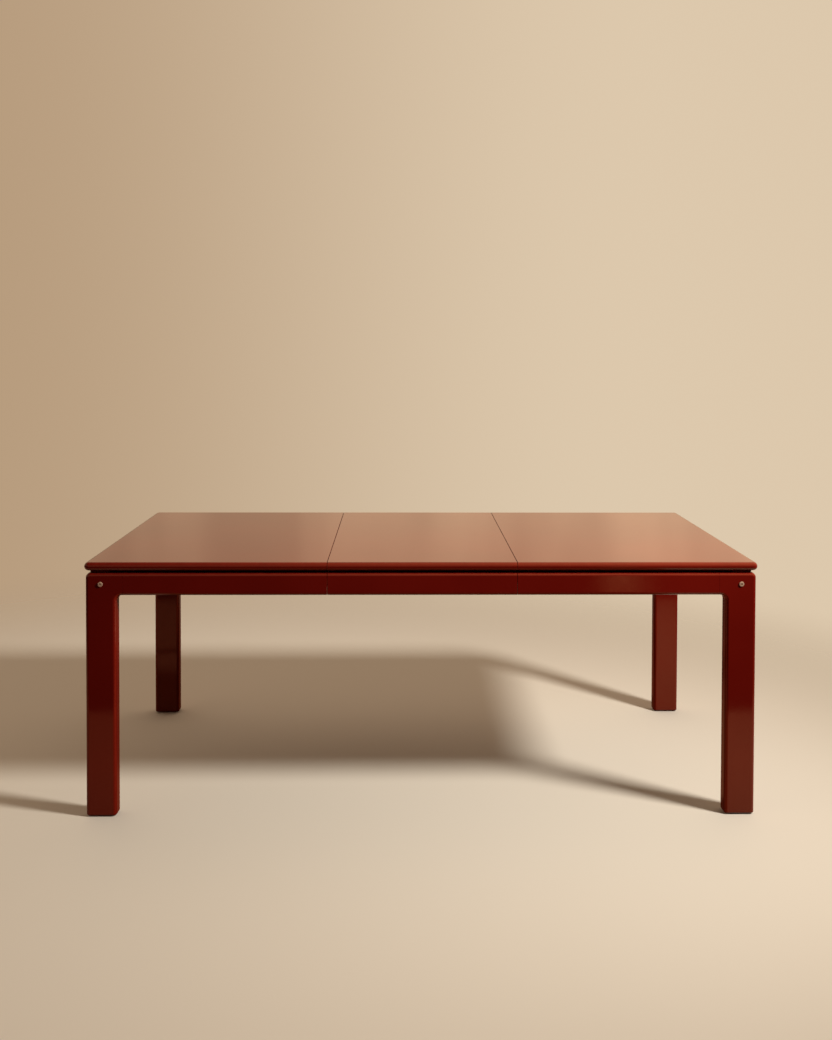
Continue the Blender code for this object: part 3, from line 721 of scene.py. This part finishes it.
def halfTop(side, look):
    node = f"{side}_top"
    low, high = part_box(node)
    radius, steps = look["cornerRadius"], look["cornerSteps"]
    outward = -1 if side == "left" else 1
    seam, end = (high.x, low.x) if side == "left" else (low.x, high.x)
    cornerX = end - outward * radius
    endAngle = 90 - outward * 90
    outline = [(seam, low.y), (seam, high.y)]
    outline += arc(cornerX, high.y - radius, radius, 90, endAngle, steps)
    outline += arc(cornerX, low.y + radius, radius, endAngle, endAngle - outward * 90, steps)
    board = nosedBoard(node, outline, [seam], look)
    lacquered(f"{side}_top_board", board, node, [seamWedge(node, seam, look)])


def leafTop(look):
    low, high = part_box("leaf_top")
    seams = [low.x, high.x]
    board = nosedBoard("leaf_top", rectangle(low.x, low.y, high.x, high.y), seams, look)
    lacquered("leaf_top_board", board, "leaf_top", [seamWedge("leaf_top", seam, look) for seam in seams])


# a dark strip of painted shade at the foot of each seam
def seamShadeStrip(side, look):
    low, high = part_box(f"{side}_top")
    leafLow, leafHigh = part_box("leaf_top")
    gap, inset = look["shadeStripGap"], look["shadeStripInset"]
    start, end = (high.x, leafLow.x - gap) if side == "left" else (leafHigh.x + gap, low.x)
    outline = rectangle(start, low.y + inset, end, high.y - inset)
    strip = extrude(outline, 2, low.z + gap, low.z + look["shadeStripHeight"])
    shadeStrip = newPiece(f"{side}_seam_shade_strip", strip, stainedBatten)
    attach(shadeStrip, f"{side}_half")


for side in ("left", "right"):
    halfTop(side, topLook)
    seamShadeStrip(side, topLook)
leafTop(topLook)
# the seam tongues are the dark strips of painted shade
print("tops: two halves, the leaf and the seam tongues")


# portal frames: legs that sweep into the aprons, and the end rails

frameLook = {
    "edgeRadius": 0.010,
    "edgeSteps": 12,
    "shoulderRadius": 0.015,
    "fillet": 0.017,
    "legWidth": 0.088,
    "arcSteps": 14,
    "footRadius": 0.006,
    "footSteps": 6,
    "jointArris": 0.0003,
    "jointSteps": 1,
    "railWidth": 0.045,
    "boardArris": 0.0006,
    "boardSteps": 2,
    "holeSides": 32,
    "gap": 0.0003,             # between pieces that touch
}


def legSolid(node, look):
    # drawn for the left end, then mirrored in x for the right
    low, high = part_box(node)
    isLeft = node.startswith("left")
    outer, ear = (low.x, high.x) if isLeft else (-high.x, -low.x)
    inner = outer + look["legWidth"]
    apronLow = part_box(node.replace("_leg", "_apron"))[0].z
    shoulder, fillet = look["shoulderRadius"], look["fillet"]
    outline = [(outer, low.z)]
    outline += arc(outer + shoulder, high.z - shoulder, shoulder, 180, 90, look["arcSteps"])
    outline += [(ear, high.z), (ear, apronLow)]
    outline += arc(inner + fillet, apronLow - fillet, fillet, 90, 180, look["arcSteps"])
    outline += [(inner, low.z)]
    post = extrude(outline, 1, low.y, high.y)

    def isLong(edge):
        onFace = onPlane(edge, 1, low.y) or onPlane(edge, 1, high.y)
        return onFace and not onPlane(edge, 0, ear) and not onPlane(edge, 2, low.z)

    roundEdges(post, isLong, look["edgeRadius"], look["edgeSteps"])
    roundEdges(post, edgesOn(2, low.z), look["footRadius"], look["footSteps"])
    roundEdges(post, edgesOn(0, ear), look["jointArris"], look["jointSteps"])
    return post if isLeft else mirrored(post)


def apronSolid(node, start, end, look):
    low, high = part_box(node)
    radius, steps = look["edgeRadius"], look["edgeSteps"]
    outline = arc(high.y - radius, low.z + radius, radius, -90, 0, steps)
    outline += arc(high.y - radius, high.z - radius, radius, 0, 90, steps)
    outline += arc(low.y + radius, high.z - radius, radius, 90, 180, steps)
    outline += arc(low.y + radius, low.z + radius, radius, 180, 270, steps)
    bar = extrude(outline, 0, start, end)
    for place in (start, end):
        roundEdges(bar, edgesOn(0, place), look["jointArris"], look["jointSteps"])
    return bar


def apronSpan(node, look):
    # the visible bar stops at the leg's ear, without the tenon that goes into the leg
    low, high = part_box(node)
    leg = node.replace("_apron", "_leg")
    if leg not in nodes:
        return low.x, high.x
    legLow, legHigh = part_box(leg)
    gap = look["gap"]
    return (legHigh.x + gap, high.x) if node.startswith("left") else (low.x, legLow.x - gap)


def railSolid(side, look):
    low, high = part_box(f"{side}_end_rail")
    frontLeg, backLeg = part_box(f"{side}_front_leg"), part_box(f"{side}_back_leg")
    inner = high.x if side == "left" else -low.x
    outer = inner - look["railWidth"]
    radius, steps = look["edgeRadius"], look["edgeSteps"]
    top = frontLeg[1].z + look["gap"]
    outline = [(inner, top)]
    outline += arc(outer + radius, top - radius, radius, 90, 180, steps)
    outline += arc(outer + radius, low.z + radius, radius, 180, 270, steps)
    outline += arc(inner - radius, low.z + radius, radius, 270, 360, steps)
    rail = extrude(outline, 1, frontLeg[1].y + look["gap"], backLeg[0].y - look["gap"])
    return rail if side == "left" else mirrored(rail)


def nutHoles(side, look):
    holes = []
    for end in ("front", "back"):
        low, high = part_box(f"{side}_{end}_barrel_nut")
        radius = (high.x - low.x) / 2 + look["gap"]
        circle = arc((low.x + high.x) / 2, (low.y + high.y) / 2, radius, 0, 360, look["holeSides"])[:-1]
        holes.append(extrude(circle, 2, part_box(f"{side}_end_rail")[0].z - radius, high.z + look["gap"]))
    return holes


def railBoard(side, look):
    # the board on the rail runs over the legs and closes the shadow gap
    low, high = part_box(f"{side}_end_rail")
    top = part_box(f"{side}_front_leg")[1].z + look["gap"]
    board = extrude(rectangle(low.x, low.y, high.x, high.y), 2, top, high.z)
    roundEdges(board, lambda edge: True, look["boardArris"], look["boardSteps"])
    return board


for side in ("left", "right"):
    for end in ("front", "back"):
        legNode = f"{side}_{end}_leg"
        lacquered(f"{legNode}_post", legSolid(legNode, frameLook), legNode)
    railNode = f"{side}_end_rail"
    lacquered(f"{railNode}_bar", railSolid(side, frameLook), railNode, nutHoles(side, frameLook))
    lacquered(f"{railNode}_board", railBoard(side, frameLook), railNode)
for node in nodes:
    if node.endswith("_apron"):
        span = apronSpan(node, frameLook)
        lacquered(f"{node}_bar", apronSolid(node, *span, frameLook), node)
print("frames: legs, end rails and aprons")


# connector bolts and foot glides

boltLook = {
    "sides": 48,
    "shankRadius": 0.004,
    "headHeight": 0.0025,
    "headRound": 0.0014,
    "headSteps": 8,
    "underRound": 0.0004,      # at the head's lower edge
    "underSteps": 3,
    "socketSides": 6,
    "socketAcross": 0.005,
    "socketDepth": 0.0025,
    "socketRim": 0.0004,
    "sharpAngle": 35,          # degrees
}


def boltPiece(node, look):
    low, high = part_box(node)
    atFront = low.y < 0
    headRadius = (high.x - low.x) / 2
    top, shank = look["headHeight"], look["shankRadius"]
    length = high.y - low.y - top
    under, roundOff = look["underRound"], look["headRound"]
    socketRadius = look["socketAcross"] / math.cos(math.pi / look["socketSides"]) / 2
    profile = [(0, -length), (shank, -length), (shank, 0), (headRadius - under, 0)]
    profile += arc(headRadius - under, under, under, -90, 0, look["underSteps"])
    profile += arc(headRadius - roundOff, top - roundOff, roundOff, 0, 90, look["headSteps"])
    profile += [(socketRadius + look["socketRim"], top), (0, top)]
    solid = turned(profile, look["sides"])
    # without its pole the head has one flat face, for a clean cut
    onAxis = [vert for vert in solid.verts if vert.co.xy.length < meshLook["tolerance"]]
    bmesh.ops.dissolve_verts(solid, verts=[vert for vert in onAxis if vert.co.z > 0])
    bolt = newPiece(f"{node}_turned", solid, nickel, look["sharpAngle"])
    socket = arc(0, 0, socketRadius, 0, 360, look["socketSides"])[:-1]
    cutAway(bolt, extrude(socket, 2, top - look["socketDepth"], 2 * top))
    radii = [math.hypot(vertex.co.x, vertex.co.y) for vertex in bolt.data.vertices]
    bolt.data.attributes.new("radius", "FLOAT", "POINT").data.foreach_set("value", radii)
    headSeat = low.y + top if atFront else high.y - top
    turn = Matrix.Rotation(math.pi / 2 if atFront else -math.pi / 2, 4, "X")
    centre = ((low.x + high.x) / 2, headSeat, (low.z + high.z) / 2)
    bolt.data.transform(Matrix.Translation(centre) @ turn)
    bolt.data.set_sharp_from_angle(angle=math.radians(look["sharpAngle"]))
    standFor(bolt, node)


glideLook = {
    "sides": 48,
    "discHeight": 0.002,
    "discRound": 0.0012,
    "discSteps": 6,
    "stemRadius": 0.004,
    "stemChamfer": 0.001,
    "sharpAngle": 35,          # degrees
}


def glidePiece(node, look):
    low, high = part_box(node)
    radius, roundOff = (high.x - low.x) / 2, look["discRound"]
    stem, chamfer = look["stemRadius"], look["stemChamfer"]
    tall = high.z - low.z
    profile = [(0, 0)] + arc(radius - roundOff, roundOff, roundOff, -90, 0, look["discSteps"])
    profile += [(radius, look["discHeight"]), (stem, look["discHeight"])]
    profile += [(stem, tall - chamfer), (stem - chamfer, tall), (0, tall)]
    glide = newPiece(f"{node}_disc", turned(profile, look["sides"]), nylon, look["sharpAngle"])
    glide.data.transform(Matrix.Translation(((low.x + high.x) / 2, (low.y + high.y) / 2, low.z)))
    standFor(glide, node)


for node in nodes:
    if node.endswith("_bolt"):
        boltPiece(node, boltLook)
    if node.endswith("_glide"):
        glidePiece(node, glideLook)
print("fittings: bolts and glides")


# slides and the other solids keep their shape and get their finish

finishByEnding = {
    "_runner": beechAlongX,
    "_runner_packer": beechAlongX,
    "_rack_stop": beechAlongX,
    "_leaf_bearer": beechAlongY,
    "_peg": beechAlongZ,
    "_cleat": stainedBatten,
    "_barrel_nut": zinc,
    "_rack": zinc,
    "_pinion": zinc,
    "_pinion_axle": zinc,
}

for node, solid in nodes.items():
    for ending, finish in finishByEnding.items():
        if node.endswith(ending):
            solid.data.materials.clear()
            solid.data.materials.append(finish)
print("slides: finishes on the solids")


# wood screws that hold cleats, runners, racks, stops and bearers

screwLook = {                  # named as the tree's inputs
    "Head Radius": 0.0036,
    "Head Height": 0.0011,
    "Slot Width": 0.0008,
    "Slot Depth": 0.0006,
    "Twist Seed": 7,
}
screwShape = {
    "sides": 20,
    "crown": 0.72,             # of the head's radius, at its top
    "slotLength": 1.15,        # of the head's radius
}
screwPlan = {
    "cleatStep": 0.145,
    "cleatInset": 0.035,
    "sideHeight": 0.016,       # screws into the apron, above the cleat's lower edge
    "runnerStep": 0.095,
    "runnerZone": (0.66, 0.86),        # from the table's middle, along X
    "rackStep": 0.11,
    "rackInset": 0.012,
    "rackBack": 0.0048,        # from the rack's back to its screws
    "stopSpread": 0.007,
    "bearerSpread": (0.011, 0.006),    # along X and Y, either way from where a bearer crosses
    "sink": 0.0002,            # into the wood or the rack
}


def screwTree(look, shape):
    tree = bpy.data.node_groups.new("woodScrews", "GeometryNodeTree")
    face = tree.interface
    face.new_socket("Geometry", in_out="INPUT", socket_type="NodeSocketGeometry")
    for name, value in look.items():
        kind = "NodeSocketInt" if isinstance(value, int) else "NodeSocketFloat"
        face.new_socket(name, in_out="INPUT", socket_type=kind)
    face.new_socket("Finish", in_out="INPUT", socket_type="NodeSocketMaterial")
    face.new_socket("Geometry", in_out="OUTPUT", socket_type="NodeSocketGeometry")
    given = addNode(tree, "NodeGroupInput").outputs
    radius, height = given["Head Radius"], given["Head Height"]
    # one pan head with a cross slot
    head = addNode(tree, "GeometryNodeMeshCone", {
        "Vertices": shape["sides"], "Radius Bottom": radius, "Depth": height,
        "Radius Top": combine(tree, "MULTIPLY", radius, shape["crown"]),
    })
    slotWidth = given["Slot Width"]
    slotLength = combine(tree, "MULTIPLY", radius, shape["slotLength"])
    slotHeight = combine(tree, "MULTIPLY", given["Slot Depth"], 2.0)   # half of it stands above the head
    lift = addNode(tree, "ShaderNodeCombineXYZ", {"Z": height}).outputs[0]
    cut = addNode(tree, "GeometryNodeMeshBoolean", {"Mesh 1": head.outputs["Mesh"]},
                  operation="DIFFERENCE", solver="MANIFOLD")
    for sizeX, sizeY in ((slotLength, slotWidth), (slotWidth, slotLength)):
        size = addNode(tree, "ShaderNodeCombineXYZ", {"X": sizeX, "Y": sizeY, "Z": slotHeight})
        block = addNode(tree, "GeometryNodeMeshCube", {"Size": size.outputs[0]})
        slot = addNode(tree, "GeometryNodeTransform", {
            "Geometry": block.outputs["Mesh"], "Translation": lift,
        })
        tree.links.new(slot.outputs[0], cut.inputs["Mesh 2"])
    # each point's head faces along its own direction and is twisted by chance
    facing = addNode(tree, "GeometryNodeInputNamedAttribute", {"Name": "facing"}, data_type="FLOAT_VECTOR")
    upright = addNode(tree, "FunctionNodeAlignRotationToVector", {"Vector": facing.outputs[0]}, axis="Z")
    # a Random Value node takes the limits of a number at sockets 2 and 3
    chance = addNode(tree, "FunctionNodeRandomValue", {2: 0.0, 3: math.pi, "Seed": given["Twist Seed"]})
    spin = addNode(tree, "ShaderNodeCombineXYZ", {"Z": chance.outputs[1]})
    twist = addNode(tree, "FunctionNodeEulerToRotation", {0: spin.outputs[0]})
    turn = addNode(tree, "FunctionNodeRotateRotation", {
        "Rotation": upright.outputs[0], "Rotate By": twist.outputs[0],
    }, rotation_space="LOCAL")
    heads = addNode(tree, "GeometryNodeInstanceOnPoints", {
        "Points": given["Geometry"], "Instance": cut.outputs["Mesh"], "Rotation": turn.outputs[0],
    })
    solid = addNode(tree, "GeometryNodeRealizeInstances", {"Geometry": heads.outputs[0]})
    finish = addNode(tree, "GeometryNodeSetMaterial", {
        "Geometry": solid.outputs[0], "Material": given["Finish"],
    })
    addNode(tree, "NodeGroupOutput", {"Geometry": finish.outputs[0]})
    return tree


def spread(start, end, step):
    count = max(2, round((end - start) / step) + 1)
    return [start + (end - start) * index / (count - 1) for index in range(count)]


def screwSpots(plan):
    # (node, place, facing) for every screw
    down = (0, 0, -1)
    spots = []
    for node in nodes:
        low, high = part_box(node)
        middle = (low + high) / 2
        if node.endswith("_cleat"):
            inward = 1 if middle.y < 0 else -1
            face = high.y if inward > 0 else low.y
            places = spread(low.x + plan["cleatInset"], high.x - plan["cleatInset"], plan["cleatStep"])
            spots += [(node, (x, middle.y, low.z), down) for x in places]
            between = [(first + second) / 2 for first, second in zip(places, places[1:])]
            spots += [(node, (x, face, low.z + plan["sideHeight"]), (0, inward, 0)) for x in between]
        elif node.endswith("_carriage_runner"):
            along, across = plan["bearerSpread"]
            for bearer in ("left_leaf_bearer", "right_leaf_bearer"):
                bearerLow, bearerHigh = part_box(bearer)
                x = (bearerLow.x + bearerHigh.x) / 2
                for sign in (-1, 1):
                    spots.append((node, (x + sign * along, middle.y + sign * across, low.z), down))
        elif node.endswith("_runner"):
            side = -1 if node.startswith("left") else 1
            places = spread(*plan["runnerZone"], plan["runnerStep"])
            spots += [(node, (side * x, middle.y, low.z), down) for x in places]
        elif node.endswith("_rack"):
            back = low.y + plan["rackBack"] if node.startswith("left") else high.y - plan["rackBack"]
            places = spread(low.x + plan["rackInset"], high.x - plan["rackInset"], plan["rackStep"])
            spots += [(node, (x, back, low.z), down) for x in places]
        elif node.endswith("_rack_stop"):
            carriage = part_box(node.replace("rack_stop", "carriage_runner"))
            y = (carriage[0].y + carriage[1].y) / 2
            for sign in (-1, 1):
                spots.append((node, (middle.x, y + sign * plan["stopSpread"], low.z), down))
    return spots


def screwPieces(look, shape, plan):
    tree = screwTree(look, shape)
    given = {**look, "Finish": zinc}
    spots = screwSpots(plan)
    for body in sorted({bodyOf[node] for node, place, facing in spots}):
        mine = [(Vector(place), Vector(facing)) for node, place, facing in spots if bodyOf[node] == body]
        mesh = bpy.data.meshes.new(f"{body}_screws")
        mesh.from_pydata([place - facing * plan["sink"] for place, facing in mine], [], [])
        directions = [part for place, facing in mine for part in facing]
        mesh.attributes.new("facing", "FLOAT_VECTOR", "POINT").data.foreach_set("vector", directions)
        screws = bpy.data.objects.new(f"{body}_screws", mesh)
        scene.collection.objects.link(screws)
        modifier = screws.modifiers.new("woodScrews", "NODES")
        modifier.node_group = tree
        for item in tree.interface.items_tree:
            if item.in_out == "INPUT" and item.name in given:
                modifier[item.identifier] = given[item.name]
        bakeModifiers(screws)
        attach(screws, body)
    print(f"screws: {len(spots)} heads")


screwPieces(screwLook, screwShape, screwPlan)
